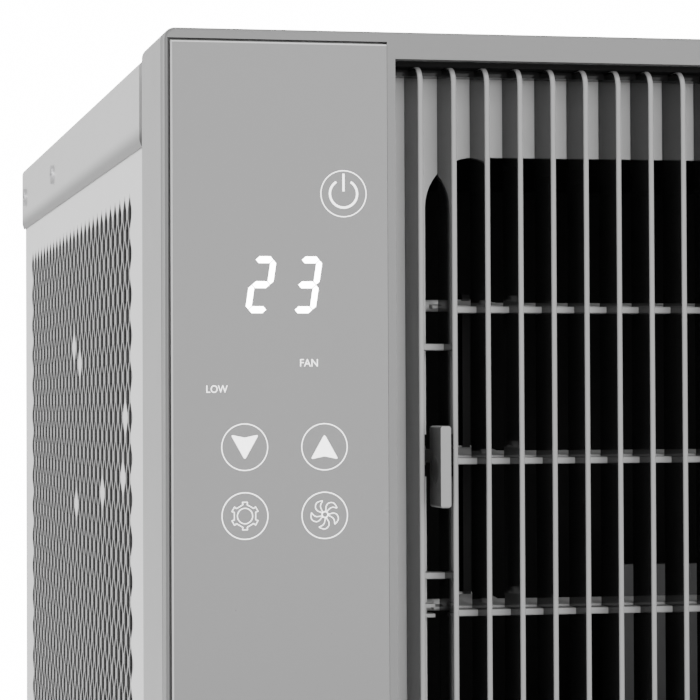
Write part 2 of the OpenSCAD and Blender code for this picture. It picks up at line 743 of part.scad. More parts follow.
// from the condenser's bottom tube, folded once, to the evaporator
module capillary_tube() {
    q = 8;
    r = 1.6;
    x1 = 212;
    z0 = cond[2][0] + (cond[2][1] - cond[2][0]) / 24;
    y1 = cond[1][0] + (cond[1][1] - cond[1][0]) / 4;
    color(copper) {
        rod_x(y1, z0, cond[0][1] + plate_t, x1 - q, r);
        quarter([x1 - q, y1 - q, z0], "xy", 0, q, r);
        rod_y(x1, z0, 70, y1 - q, r);
        quarter([x1, 70, z0 + q], "yz", 90, q, r, 180);
        rod_y(x1, z0 + 2 * q, 70, 120, r);
        quarter([x1, 120, z0 + 3 * q], "yz", -90, q, r, 180);
        rod_y(x1, z0 + 4 * q, evap[1][0] + 12, 120, r);
        quarter([x1 - q, evap[1][0] + 12, z0 + 4 * q], "xy", -90, q, r);
        rod_x(evap[1][0] + 12 - q, z0 + 4 * q, evap[0][1] + plate_t, x1 - q, r);
    }
}

// ---- electrics ----

module control_box() {
    x = [-218, -164];
    y = [-146, -40];
    z = [190, 330];
    color(steel) difference() {
        span(x, y, z);
        span([x[0] + 1.2, x[1] - 1.2], [y[0] - 1, y[1] - 1.2], [z[0] + 1.2, z[1] - 1.2]);
    }
}

module capacitor() {
    color([0.7, 0.7, 0.68]) {
        translate([-190, -100, 191.4]) cylinder(h = 70, r = 20);
        for (x = [-196, -184]) translate([x, -100, 261]) cylinder(h = 8, r = 2.5);
    }
}

// ---- cabinet ----

module base_pan() {
    w = panel_x - sheet_t - 0.3;
    y0 = neck_y[1] + 0.3;
    y1 = cab_y1 - 1.5;
    color(steel) difference() {
        union() {
            difference() {
                span([-w, w], [y0, y1], [0, 30]);
                span([-w + pan_t, w - pan_t], [y0 + pan_t, y1 - pan_t], [pan_t, 31]);
            }
            // pad ring of the drain port and compressor studs
            translate([drain[0], drain[1], 0]) cylinder(h = 6, r = drain_r + 4);
            for (a = comp_feet) translate([comp[0], comp[1], 0.2]) rotate(a)
                translate([foot_r, 0, 0]) cylinder(h = 36, r = 2.8);
        }
        translate([drain[0], drain[1], -1]) cylinder(h = 10, r = drain_r);
        for (x = [-sill_holes / 2, sill_holes / 2]) translate([x, 60, -1]) cylinder(h = 4, r = 2.2);
        for (y = low_screws) for (s = [-1, 1]) rod_x(y, 15, s * w - 3, s * w + 3, 1.8);
    }
}

// a cabinet side: the perforated field is filled in here
module side_panel() {
    x0 = panel_x - sheet_t;
    color(silver) difference() {
        union() {
            span([x0, panel_x], [cab_y0, cab_y1 - 1.2], [1, cab_top - 6]);
            span([x0 - 8, x0 + 0.5], [cab_y1 - 2.2, cab_y1 - 1.2], [31, cab_top - 6]);
        }
        for (y = low_screws) rod_x(y, 15, x0 - 1, panel_x + 1, 1.8);
        for (y = top_screws) rod_x(y, cab_top - 12, x0 - 1, panel_x + 1, 1.8);
    }
}

module right_panel() { side_panel(); }
module left_panel() { mirror([1, 0, 0]) side_panel(); }

// outline of the cover: round shoulders, and flanges that ease inwards at their lower edge
module cover_outline() {
    inner = half_w - sheet_t;
    difference() {
        union() {
            rounded(-half_w, half_w, flange_z + ease_h, cab_top, cover_r);
            translate([-half_w, flange_z + ease_h]) square([body_w, cover_r]);
            for (s = [-1, 1]) translate([s * (half_w - ease_r), flange_z + ease_h]) circle(ease_r);
        }
        rounded(-inner, inner, flange_z - 2 * ease_r, cab_top - sheet_t, cover_r - sheet_t);
        translate([-half_w - 1, flange_z - 2 * ease_r]) square([body_w + 2, 2 * ease_r]);
    }
}

module top_cover() {
    color(silver) difference() {
        union() {
            along_y(cab_y0, cab_y1 - cab_y0) cover_outline();
            span([-half_w + 3, half_w - 3], [cab_y1 - sheet_t, cab_y1], [flange_z + 6, cab_top - 0.2]);
        }
        // window rail screw holes
        for (x = [-rail_holes / 2, rail_holes / 2])
            translate([x, -120, cab_top - 3]) cylinder(h = 5, r = 2.2);
        for (s = [-1, 1]) for (y = top_screws)
            rod_x(y, cab_top - 12, s * half_w - 2, s * half_w + 2, 1.8);
    }
}

module rear_guard() {
    x = [-214, 214];
    z = [6, flange_z + 4];
    y0 = cab_y1 + 0.2;
    color(silver) {
        difference() {
            span(x, [y0, guard_y1], z);
            span([x[0] + 8, x[1] - 8], [y0 - 1, guard_y1 + 1], [z[0] + 8, z[1] - 8]);
        }
        // guard bars
        for (i = [1:23]) {
            zb = z[0] + 4 + i * (z[1] - z[0] - 8) / 24;
            rod_x(guard_y1 - 3, zb, x[0] + 6, x[1] - 6, 1.5);
        }
        for (k = [-2:2]) span([k * 68 - 1.2, k * 68 + 1.2], [guard_y1 - 5.5, guard_y1 - 3], [z[0] + 6, z[1] - 6]);
    }
}

module cord_gland() {
    color(dark) difference() {
        union() {
            rod_x(gland_y, gland_z, half_w - 6.5, half_w - 0.2, gland_r + 2.5);
            rod_x(gland_y, gland_z, half_w - 6.5, half_w - 4.2, gland_r + 4.5);
        }
        rod_x(gland_y, gland_z, half_w - 8, half_w + 1, gland_r);
    }
}

// screw along X through a side: face is the outer face it sits on, s its side
module side_screw(y, z, face, s) {
    color(steel) translate([s * face, y, z]) rotate([0, s * 90, 0]) {
        translate([0, 0, -6]) cylinder(h = 6.5, r = 1.7);
        difference() {
            cylinder(h = 1.1, r = 3.2);
            translate([-2.2, -0.4, 0.5]) cube([4.4, 0.8, 2]);
            translate([-0.4, -2.2, 0.5]) cube([0.8, 4.4, 2]);
        }
    }
}

module cabinet_screws() {
    for (s = [-1, 1]) {
        for (y = top_screws) side_screw(y, cab_top - 12, half_w, s);
        for (y = low_screws) side_screw(y, 15, panel_x, s);
    }
}

module bezel_screws() {
    color(steel) for (x = [-bezel_screw_x, bezel_screw_x]) translate([x, housing_back - 4.5, 0]) {
        translate([0, 0, 0.4]) cylinder(h = 7, r = 1.7);
        translate([0, 0, body_h - 7.4]) cylinder(h = 7, r = 1.7);
    }
}

// sheet collar that the bezel is pushed over
module neck_frame() {
    color(dark) difference() {
        span([-half_w + wall + 0.3, half_w - wall - 0.3], neck_y, [wall + 0.3, cab_top - sheet_t - 0.3]);
        span([-half_w + wall + 1.3, half_w - wall - 1.3], [neck_y[0] - 1, neck_y[1] + 1],
            [wall + 1.3, cab_top - sheet_t - 1.3]);
        for (x = [-bezel_screw_x, bezel_screw_x])
            translate([x, housing_back - 4.5, -1]) cylinder(h = body_h + 2, r = 1.8);
    }
}

front_trim();
front_housing();
control_glass();
control_board();
display_module();
front_grille();
duct_panel();
stop_bracket();
louver_top();
louver_middle();
louver_bottom();
louver_lever();
louver_link();
filter_frame();
filter_mesh();
room_sensor();
evaporator_fins();
evaporator_plates();
evaporator_tubes();
upper_duct();
scroll_housing();
inlet_ring();
blower_wheel();
motor_shaft();
fan_motor();
motor_bracket();
bulkhead();
condenser_fan();
fan_shroud();
condenser_fins();
condenser_plates();
condenser_tubes();
compressor();
compressor_cover();
compressor_grommets();
accumulator();
suction_tube();
discharge_tube();
capillary_tube();
control_box();
capacitor();
base_pan();
left_panel();
right_panel();
top_cover();
rear_guard();
cord_gland();
cabinet_screws();
bezel_screws();
neck_frame();
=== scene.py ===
# %% [markdown]
# A window air conditioner, finished for rendering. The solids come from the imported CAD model; this
# script dresses them: it adds the camera, the studio, the finishes and the pieces that are too fine
# for the CAD, such as the punched side sheets and the symbols printed on the touch glass.

# %% The frame and its box
import json
import math
import bmesh
import bpy
import numpy as np
from mathutils import Matrix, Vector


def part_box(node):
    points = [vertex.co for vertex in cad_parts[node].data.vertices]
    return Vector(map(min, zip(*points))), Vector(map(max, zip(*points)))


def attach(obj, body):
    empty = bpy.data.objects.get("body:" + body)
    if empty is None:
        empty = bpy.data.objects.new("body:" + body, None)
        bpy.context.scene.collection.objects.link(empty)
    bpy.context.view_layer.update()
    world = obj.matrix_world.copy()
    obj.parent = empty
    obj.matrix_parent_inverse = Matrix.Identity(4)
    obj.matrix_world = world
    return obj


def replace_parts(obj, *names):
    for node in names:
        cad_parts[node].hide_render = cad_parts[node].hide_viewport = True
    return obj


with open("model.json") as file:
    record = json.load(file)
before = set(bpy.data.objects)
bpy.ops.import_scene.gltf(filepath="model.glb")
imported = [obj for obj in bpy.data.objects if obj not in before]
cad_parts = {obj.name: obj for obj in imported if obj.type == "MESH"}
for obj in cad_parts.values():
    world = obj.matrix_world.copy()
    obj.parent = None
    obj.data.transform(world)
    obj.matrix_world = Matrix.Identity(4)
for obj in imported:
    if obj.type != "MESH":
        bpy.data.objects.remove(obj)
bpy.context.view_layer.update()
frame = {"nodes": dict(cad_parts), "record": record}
NODES = frame["nodes"]
MM = 0.001

# %% [markdown]
# The camera comes first. It stands in front of the left corner, a little outside the cabinet's side,
# with its eye below the top cover. A long lens flattens the front, and the side is seen at a slant.
# The camera's axes are written out as vectors, because that says exactly where it looks: `ahead` is
# turned by yaw from +Y towards +X and raised by pitch, and roll turns `across` and `upward` about it.

# %% Camera
EYE_MM = (-320.566, -899.099, 250.797)
YAW, PITCH, ROLL = (math.radians(a) for a in (11.491, 1.169, -0.254))
FOCAL_PX = 2868.5
FRAME_PX = 700
SENSOR_MM = 36.0


def camera_axes(yaw, pitch, roll):
    """ahead = (sin yaw cos pitch, cos yaw cos pitch, sin pitch); level = (cos yaw, -sin yaw, 0);
    rise = level x ahead; across and upward are level and rise turned by roll about ahead."""
    ahead = np.array([math.sin(yaw) * math.cos(pitch), math.cos(yaw) * math.cos(pitch),
                      math.sin(pitch)])
    level = np.array([math.cos(yaw), -math.sin(yaw), 0.0])
    rise = np.cross(level, ahead)
    across = level * math.cos(roll) + rise * math.sin(roll)
    upward = -level * math.sin(roll) + rise * math.cos(roll)
    return across, upward, ahead


lens = bpy.data.cameras.new("camera")
lens.sensor_width = SENSOR_MM
lens.lens = FOCAL_PX * SENSOR_MM / FRAME_PX
lens.clip_start, lens.clip_end = 0.02, 50
camera = bpy.data.objects.new("camera", lens)
across, upward, ahead = camera_axes(YAW, PITCH, ROLL)
turn = Matrix([[across[i], upward[i], -ahead[i]] for i in range(3)])
camera.matrix_world = Matrix.Translation([c * MM for c in EYE_MM]) @ turn.to_4x4()
bpy.context.scene.collection.objects.link(camera)
bpy.context.scene.camera = camera
print("lens (mm):", round(lens.lens, 2))

# %% [markdown]
# The studio is a white surround and three soft lights; a pale round floor comes at the end. A wide
# light stands in front, a little to the right: it shines straight into the grille, and it is wide
# enough for the smooth glass to mirror it evenly. One faces the cabinet's left side. A small one
# above makes the front brighter at the top and catches the upper edges of the ribs. A backdrop that
# looks white has to be far brighter than the white surround that lights the object, so the world
# has two strengths: one for what the camera sees and one for what falls on things.

# %% Studio
SURROUND, BACKDROP = 0.9, 16.0      # strength of the world as a light, and as seen by the camera
LIGHTS = (                          # name, place (m), aim (m), side of the square (m), power (W)
    ("light_front", (0.40, -2.40, 0.70), (-0.1, -0.2, 0.25), 2.2, 80),
    ("light_side", (-2.3, 0.25, 0.9), (-0.22, 0.0, 0.2), 1.6, 62),
    ("light_above", (0.1, -0.75, 1.35), (-0.1, -0.2, 0.3), 0.5, 7),
)


def area_light(name, place, aim, size, power):
    """A square soft light at place (m), with its -Z axis along aim - place."""
    lamp = bpy.data.lights.new(name, "AREA")
    lamp.shape = "SQUARE"
    lamp.size = size
    lamp.energy = power
    holder = bpy.data.objects.new(name, lamp)
    way = np.array(aim, float) - np.array(place, float)
    way /= np.linalg.norm(way)
    side = np.cross(way, [0.0, 0.0, 1.0])
    side /= np.linalg.norm(side)
    up = np.cross(side, way)
    holder.matrix_world = (Matrix.Translation(place)
                           @ Matrix([[side[i], up[i], -way[i]] for i in range(3)]).to_4x4())
    bpy.context.scene.collection.objects.link(holder)


world = bpy.data.worlds.new("surround")
bpy.context.scene.world = world
world.use_nodes = True
sky = world.node_tree
surround = sky.nodes["Background"]
surround.inputs["Color"].default_value = (1, 1, 1, 1)
surround.inputs["Strength"].default_value = SURROUND
backdrop = sky.nodes.new("ShaderNodeBackground")
backdrop.inputs["Color"].default_value = (1, 1, 1, 1)
backdrop.inputs["Strength"].default_value = BACKDROP
choose = sky.nodes.new("ShaderNodeMixShader")
seen = sky.nodes.new("ShaderNodeLightPath")
sky.links.new(seen.outputs["Is Camera Ray"], choose.inputs[0])
sky.links.new(surround.outputs[0], choose.inputs[1])
sky.links.new(backdrop.outputs[0], choose.inputs[2])
sky.links.new(choose.outputs[0], sky.nodes["World Output"].inputs[0])
for light in LIGHTS:
    area_light(*light)
print("lights (W):", {light[0]: light[-1] for light in LIGHTS})

# %% [markdown]
# Finishes. Moulded plastic has a fine leather-like grain, a faint mottle and small changes of
# gloss; powder coat has orange peel; bare metal has rolling lines. All of them are the same recipe
# with other numbers: two noises on Object coordinates, one coarse for the mottle and one fine for
# the grain, feeding the colour, the roughness and a bump. The numbers that never change over the
# surface sit on the shader's own sockets.

# %% Finish recipe


def node(tree, kind, **inputs):
    """A shader node of that kind, with the named inputs set."""
    made = tree.nodes.new(kind)
    for key, value in inputs.items():
        made.inputs[key.replace("_", " ")].default_value = value
    return made


def finish(name, colour, rough, metallic=0.0, grain=1500.0, bump=0.06, mottle=0.05, coat=0.0,
           stretch=(1, 1, 1), specular=0.5, gloss_change=0.05, glow=0.0):
    """colour * (1 +- mottle * coarse noise), roughness rough +- gloss_change, bump from fine noise.
    grain is in cycles per metre; stretch makes it run along an axis; glow is emitted light."""
    m = bpy.data.materials.new(name)
    m.use_nodes = True
    t = m.node_tree
    shader = t.nodes["Principled BSDF"]
    where = t.nodes.new("ShaderNodeTexCoord")
    lay = t.nodes.new("ShaderNodeMapping")
    lay.inputs["Scale"].default_value = stretch
    t.links.new(where.outputs["Object"], lay.inputs["Vector"])
    coarse = node(t, "ShaderNodeTexNoise", Scale=grain / 40, Detail=3.0, Roughness=0.55)
    fine = node(t, "ShaderNodeTexNoise", Scale=grain, Detail=2.0, Roughness=0.5)
    for noise in (coarse, fine):
        t.links.new(lay.outputs["Vector"], noise.inputs["Vector"])
    tone = t.nodes.new("ShaderNodeValToRGB")
    lo, hi = tone.color_ramp.elements
    lo.position, hi.position = 0.3, 0.7
    lo.color = (*[min(1.0, c * (1 - mottle)) for c in colour], 1)
    hi.color = (*[min(1.0, c * (1 + mottle)) for c in colour], 1)
    t.links.new(coarse.outputs["Fac"], tone.inputs["Fac"])
    t.links.new(tone.outputs["Color"], shader.inputs["Base Color"])
    gloss = node(t, "ShaderNodeMapRange", To_Min=max(0.02, rough - gloss_change),
                 To_Max=min(1.0, rough + gloss_change))
    t.links.new(fine.outputs["Fac"], gloss.inputs["Value"])
    t.links.new(gloss.outputs["Result"], shader.inputs["Roughness"])
    relief = node(t, "ShaderNodeBump", Strength=bump, Distance=0.0001)
    t.links.new(fine.outputs["Fac"], relief.inputs["Height"])
    t.links.new(relief.outputs["Normal"], shader.inputs["Normal"])
    shader.inputs["Metallic"].default_value = metallic
    shader.inputs["Specular IOR Level"].default_value = specular
    shader.inputs["Coat Weight"].default_value = coat
    shader.inputs["Coat Roughness"].default_value = 0.08
    if glow:
        shader.inputs["Emission Color"].default_value = (1, 1, 1, 1)
        shader.inputs["Emission Strength"].default_value = glow
    return m


SILVER = finish("silver_plastic_finish", (0.29, 0.29, 0.29), 0.42, grain=2600, bump=0.10, mottle=0.02)
# The trim is the bezel's silver darkened as painted shade, most on its front; its flanks are lighter, as
# painted light from the left.
TRIM_PAINTED_SHADE = finish("silver_trim_painted_shade_finish", (0.105, 0.105, 0.105), 0.42, grain=2600, bump=0.10, mottle=0.02)
GRILLE_FRONT = finish("grille_silver_finish", (0.165, 0.165, 0.165), 0.40, grain=2600, bump=0.08,
                      mottle=0.02)
# The ribs are the slat fronts' silver made lighter: painted light that keeps them bright deep in the
# grille.
GRILLE_RIB_PAINTED_LIGHT = finish("grille_rib_painted_light_finish", (0.25, 0.25, 0.25), 0.40, grain=2600, bump=0.08, mottle=0.02)
GRILLE_DARK = finish("grille_dark_finish", (0.016, 0.016, 0.016), 0.09, grain=900, bump=0.01, mottle=0.1,
                     gloss_change=0.02, specular=0.08)
SHEET = finish("silver_sheet_finish", (0.64, 0.64, 0.64), 0.45, grain=1400, bump=0.12, mottle=0.015)
# The cover is the sides' sheet paint darkened as painted shade.
SHADED_COVER = finish("cover_sheet_painted_shade_finish", (0.46, 0.46, 0.46), 0.45, grain=1400, bump=0.12, mottle=0.015)
# The punched web is the sheet's silver darkened, as painted shade.
SHADED_WEB = finish("punched_web_painted_shade_finish", (0.27, 0.27, 0.27), 0.45, grain=1400, bump=0.12, mottle=0.015)
# The hole walls are near black, as painted shade.
HOLE_WALL_SHADE = finish("hole_wall_painted_shade_finish", (0.07, 0.07, 0.07), 0.5, grain=1400, bump=0.05, mottle=0.05)
GLASS = finish("touch_glass_finish", (0.125, 0.125, 0.125), 0.30, grain=500, bump=0.01, mottle=0.01)
# The glass bevels are light as a painted highlight.
GLASS_BEVEL_HIGHLIGHT = finish("glass_bevel_painted_highlight_finish", (0.55, 0.55, 0.55), 0.35, grain=500, bump=0.01, mottle=0.01)
GREY = finish("grey_plastic_finish", (0.50, 0.50, 0.50), 0.45, grain=2000, bump=0.06, mottle=0.03)
LOUVER = finish("louver_finish", (0.40, 0.40, 0.40), 0.40, grain=2000, bump=0.06, mottle=0.04)
LEVER = finish("lever_finish", (0.145, 0.145, 0.145), 0.38, grain=2600, bump=0.06, mottle=0.02)
BLACK = finish("black_plastic_finish", (0.02, 0.02, 0.021), 0.45, grain=1800, bump=0.12, mottle=0.2)
BLACK_FOAM = finish("black_foam_finish", (0.006, 0.006, 0.006), 0.95, grain=700, bump=0.5, mottle=0.3,
                    specular=0.1)
# Near black, as painted shade: the punched sheets' inner face and the black sheet behind their holes.
SHADE_SHEET = finish("painted_shade_sheet_finish", (0.006, 0.006, 0.006), 0.8, grain=900, bump=0.1, mottle=0.2,
                    specular=0.1)
FOAM = finish("white_foam_finish", (0.78, 0.78, 0.76), 0.85, grain=420, bump=0.6, mottle=0.05)
BOARD = finish("board_finish", (0.02, 0.12, 0.05), 0.35, grain=600, bump=0.05, mottle=0.25, coat=0.3)
DISPLAY = finish("display_finish", (0.75, 0.75, 0.75), 0.5, grain=900, bump=0.05, mottle=0.03)
NET = finish("filter_net_finish", (0.03, 0.035, 0.045), 0.6, grain=3000, bump=0.2, mottle=0.3)
FINS = finish("fin_finish", (0.72, 0.73, 0.75), 0.32, metallic=1.0, grain=900, bump=0.12, mottle=0.08,
              stretch=(1, 1, 0.2))
GALVANISED = finish("galvanised_finish", (0.52, 0.53, 0.55), 0.42, metallic=0.9, grain=420, bump=0.15,
                    mottle=0.18, gloss_change=0.12)
STEEL = finish("zinc_steel_finish", (0.62, 0.62, 0.63), 0.3, metallic=1.0, grain=1600, bump=0.08,
               mottle=0.08)
COPPER = finish("copper_finish", (0.72, 0.36, 0.22), 0.3, metallic=1.0, grain=700, bump=0.08, mottle=0.18,
                gloss_change=0.1)
BLACK_STEEL = finish("black_paint_finish", (0.012, 0.012, 0.012), 0.35, grain=900, bump=0.15, mottle=0.2)
MOTOR = finish("motor_paint_finish", (0.05, 0.05, 0.055), 0.4, grain=900, bump=0.15, mottle=0.15)
RUBBER = finish("rubber_finish", (0.015, 0.015, 0.015), 0.75, grain=1500, bump=0.25, mottle=0.25)
CAN = finish("drawn_can_finish", (0.6, 0.6, 0.58), 0.34, metallic=0.8, grain=900, bump=0.08, mottle=0.06)
PRINT = finish("white_print_finish", (0.80, 0.80, 0.80), 0.5, grain=900, bump=0.02, mottle=0.01, glow=2.2)
LIT = finish("lit_digit_finish", (0.9, 0.9, 0.9), 0.5, grain=900, bump=0.02, mottle=0.01, glow=16.0)
FLOOR = finish("floor_finish", (0.86, 0.86, 0.86), 0.7, grain=160, bump=0.03, mottle=0.01)
SLOT_FINISH = {
    "silver_plastic": SILVER, "silver_sheet": SHEET, "panel_glass": GLASS, "grey_plastic": GREY,
    "louver_plastic": LOUVER, "black_plastic": BLACK, "board": BOARD, "display": DISPLAY,
    "filter_net": NET, "aluminium": FINS, "galvanised": GALVANISED, "steel": STEEL, "copper": COPPER,
    "foam": FOAM, "black_foam": BLACK_FOAM, "black_steel": BLACK_STEEL, "motor_steel": MOTOR,
    "rubber": RUBBER, "can": CAN,
}


def flank_colour(m, colour, facing=0.75):
    """Takes another colour where the surface's normal points mostly along X: |normal x| > facing."""
    t = m.node_tree
    shader = t.nodes["Principled BSDF"]
    silver = shader.inputs["Base Color"].links[0].from_socket
    where = t.nodes.new("ShaderNodeTexCoord")
    split = t.nodes.new("ShaderNodeSeparateXYZ")
    size = node(t, "ShaderNodeMath")
    size.operation = "ABSOLUTE"
    over = t.nodes.new("ShaderNodeMath")
    over.operation = "GREATER_THAN"
    over.inputs[1].default_value = facing
    mix = t.nodes.new("ShaderNodeMix")
    mix.data_type = "RGBA"
    t.links.new(where.outputs["Normal"], split.inputs[0])
    t.links.new(split.outputs["X"], size.inputs[0])
    t.links.new(size.outputs[0], over.inputs[0])
    t.links.new(over.outputs[0], mix.inputs["Factor"])
    t.links.new(silver, mix.inputs[6])
    mix.inputs[7].default_value = (*colour, 1)
    t.links.new(mix.outputs[2], shader.inputs["Base Color"])


flank_colour(LEVER, (0.03, 0.03, 0.03))
# The trim's flanks are lighter than its front: painted light from the left.
flank_colour(TRIM_PAINTED_SHADE, (0.175, 0.175, 0.175))


def hem_shade(m, low, high, fade, top_fade, depth):
    """Darkens a folded sheet near its hems: colour * (1 - depth * nearness), where nearness runs from
    1 at the edge z = low to 0 over fade above it, and from 0 to 1 over top_fade below z = high."""
    t = m.node_tree
    shader = t.nodes["Principled BSDF"]
    silver = shader.inputs["Base Color"].links[0].from_socket
    where = t.nodes.new("ShaderNodeTexCoord")
    split = t.nodes.new("ShaderNodeSeparateXYZ")
    t.links.new(where.outputs["Object"], split.inputs[0])
    shades = []
    for z0, z1, lo, hi in ((low, low + fade, 1 - depth, 1.0), (high - top_fade, high, 1.0, 1 - depth)):
        shade = node(t, "ShaderNodeMapRange", From_Min=z0 * MM, From_Max=z1 * MM, To_Min=lo, To_Max=hi)
        shade.interpolation_type = "SMOOTHSTEP"
        t.links.new(split.outputs["Z"], shade.inputs["Value"])
        shades.append(shade.outputs["Result"])
    both = t.nodes.new("ShaderNodeMath")
    both.operation = "MULTIPLY"
    t.links.new(shades[0], both.inputs[0])
    t.links.new(shades[1], both.inputs[1])
    tint = t.nodes.new("ShaderNodeMix")
    tint.data_type, tint.blend_type = "RGBA", "MULTIPLY"
    tint.inputs["Factor"].default_value = 1.0
    t.links.new(silver, tint.inputs[6])
    t.links.new(both.outputs[0], tint.inputs[7])
    t.links.new(tint.outputs[2], shader.inputs["Base Color"])


# Painted shade near the cover's lower hem and its top bend.
hem_shade(SHADED_COVER, 320.8, 344.6, 5.2, 2.2, 0.60)
for part in frame["record"]["subparts"]:
    holder = NODES[part["node"]]
    for k in range(max(1, len(holder.material_slots))):
        if holder.material_slots:
            holder.material_slots[k].material = SLOT_FINISH[part["material_slot"]]
        else:
            holder.data.materials.append(SLOT_FINISH[part["material_slot"]])
NODES["louver_lever"].material_slots[0].material = LEVER
NODES["front_trim"].material_slots[0].material = TRIM_PAINTED_SHADE
NODES["top_cover"].material_slots[0].material = SHADED_COVER
NODES["louver_link"].material_slots[0].material = GRILLE_DARK
print("finishes:", len(bpy.data.materials))

# %% [markdown]
# Small helpers turn arrays into pieces. `piece` takes points and faces, puts them in a mesh and
# lets it ride on a body. `sheet_grid` takes a grid of points and joins neighbours with quads; a
# grid may be closed in one or both directions, as a ring or a tube is. `boxes` sets many boxes of
# one size, and `bar` is a single box between two corners.

# %% Helpers for new pieces


def piece(name, points, faces, finishes, body="unit", face_finish=None, smooth=False):
    """A mesh from points (n x 3, mm) and faces (lists of indices), with its finishes."""
    mesh = bpy.data.meshes.new(name)
    mesh.from_pydata((np.asarray(points, float) * MM).tolist(), [], [list(map(int, f)) for f in faces])
    for f in (finishes if isinstance(finishes, (list, tuple)) else [finishes]):
        mesh.materials.append(f)
    if face_finish is not None:
        mesh.polygons.foreach_set("material_index", np.asarray(face_finish, dtype=np.int32))
    mesh.polygons.foreach_set("use_smooth", np.full(len(mesh.polygons), smooth))
    mesh.validate()
    mesh.update()
    made = bpy.data.objects.new(name, mesh)
    bpy.context.scene.collection.objects.link(made)
    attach(made, body)
    print(f"{name}: {len(mesh.polygons)} faces")
    return made


def sheet_grid(n, m, close_n=False, close_m=False, start=0):
    """Quads of an n x m grid of points numbered row by row from start."""
    i = np.arange(n if close_n else n - 1)
    j = np.arange(m if close_m else m - 1)
    a, b = (g.ravel() for g in np.meshgrid(i, j, indexing="ij"))
    a1, b1 = (a + 1) % n, (b + 1) % m
    return np.stack([a * m + b, a1 * m + b, a1 * m + b1, a * m + b1], 1) + start


UNIT_BOX = np.array([[i, j, k] for i in (0, 1) for j in (0, 1) for k in (0, 1)], float)
BOX_FACES = np.array([[0, 1, 3, 2], [4, 6, 7, 5], [0, 4, 5, 1], [2, 3, 7, 6], [0, 2, 6, 4], [1, 5, 7, 3]])


def boxes(size, places):
    """A box of that size at each place: its corners are place + unit corner * size."""
    points = UNIT_BOX[None] * size + np.asarray(places, float)[:, None]
    faces = BOX_FACES[None] + 8 * np.arange(len(points))[:, None, None]
    return points.reshape(-1, 3), faces.reshape(-1, 4)


def bar(x, y, z):
    """One box, from its lower and upper bounds along each axis."""
    low, high = np.array([x, y, z], float).T
    return boxes(high - low, [low])


def thicken(made, mm, offset=-1.0):
    """Solidify: a wall of that thickness, grown inwards from the surface."""
    wall = made.modifiers.new("wall", "SOLIDIFY")
    wall.thickness = mm * MM
    wall.offset = offset
    return made


# %% [markdown]
# The cabinet's sides are punched all over with small holes, so that the outdoor coil can draw air
# through them. The holes sit on a lattice turned by 45 degrees. Around each hole the sheet is a
# diamond, so one cell is a diamond with an eight-sided hole in it, and the whole field is that cell
# repeated. Half cells close the zigzag edges, plain margins frame the field, and a few places in
# the field were never punched. The sheet's thickness comes last, from Solidify. The shade in the
# field is painted: the web between the holes is darker than the margins, the hole walls and the
# inner face are near black, and a thin black sheet behind the holes is painted shade for the dark inside.

# %% Punched side sheets
SHEET_WALL = 0.55            # thickness of the sheet at a hole
SHADE_SHEET_GAP = 0.7                # from the sheet's outer face to the black sheet of painted shade behind it
SHADE_SHEET_T = 0.2                  # thickness of the black sheet of painted shade
STEP = 5.565                 # half the distance between holes of one column
HOLE = np.array([[3.3, -1.4], [3.3, 1.4], [0.6, 4.1], [-0.6, 4.1],
                 [-3.3, 1.4], [-3.3, -1.4], [-0.6, -4.1], [0.6, -4.1]])
DIAMOND = np.array([[STEP, 0], [0, STEP], [-STEP, 0], [0, -STEP]])
FIELD_Y0, FIELD_COLUMNS = -122.77, 53
FIELD_TOP, FIELD_ROWS = 304.25, 25
UNPUNCHED = ((26, 3), (23, 3), (2, 5), (3, 6), (12, 7), (25, 7))   # column, hole from the top


def field_cells():
    """Centres of the cells: cell (c, r) is at (y0 + c step, top - 2 r step - (c odd) step). The second
    array tells which of them were never punched."""
    c, r = (g.ravel() for g in np.meshgrid(np.arange(FIELD_COLUMNS), np.arange(FIELD_ROWS),
                                           indexing="ij"))
    keep = ~((c % 2 == 1) & (r == FIELD_ROWS - 1))
    c, r = c[keep], r[keep]
    centre = np.stack([FIELD_Y0 + c * STEP, FIELD_TOP - 2 * r * STEP - (c % 2) * STEP], 1)
    return centre, np.isin(c * 100 + r, [a * 100 + b for a, b in UNPUNCHED])


def punched_cells(centre):
    """The web round each hole: four long faces and four at the diamond's tips join the hole's corners
    to the diamond's."""
    cell = np.vstack([HOLE, DIAMOND])
    ring = np.array([[1, 8, 9, 2], [3, 9, 10, 4], [5, 10, 11, 6], [7, 11, 8, 0]])
    tips = np.array([[0, 8, 1], [2, 9, 3], [4, 10, 5], [6, 11, 7]])
    points = (centre[:, None, :] + cell[None]).reshape(-1, 2)
    base = np.arange(len(centre))[:, None, None] * len(cell)
    return points, [f for part in (ring, tips) for f in (base + part[None]).reshape(-1, part.shape[1])]


def plain_parts(y0, y1, z0, z1, ya, yb, za, zb):
    """Plain polygons: half cells along the zigzag edges of the field (y0 to y1, z0 to z1), quarter
    cells in its corners, and four margins out to the sheet's own box (ya to yb, za to zb)."""
    flat = []
    rows = FIELD_TOP - 2 * STEP * np.arange(FIELD_ROWS - 1)
    for y, s in ((y0, 1), (y1, -1)):
        flat += [np.array([[y, z], [y, z - 2 * STEP], [y + s * STEP, z - STEP]]) for z in rows]
    cols = FIELD_Y0 + 2 * STEP * np.arange((FIELD_COLUMNS - 1) // 2)
    for z, s in ((z1, -1), (z0, 1)):
        flat += [np.array([[y, z], [y + 2 * STEP, z], [y + STEP, z + s * STEP]]) for y in cols]
        for y, d in ((y0, 1), (y1, -1)):
            flat.append(np.array([[y, z], [y + d * STEP, z], [y, z + s * STEP]]))
    return flat + [np.array(q) for q in (
        [[ya, za], [y0, za], [y0, zb], [ya, zb]], [[y1, za], [yb, za], [yb, zb], [y1, zb]],
        [[y0, za], [y1, za], [y1, z0], [y0, z0]], [[y0, z1], [y1, z1], [y1, zb], [y0, zb]])]


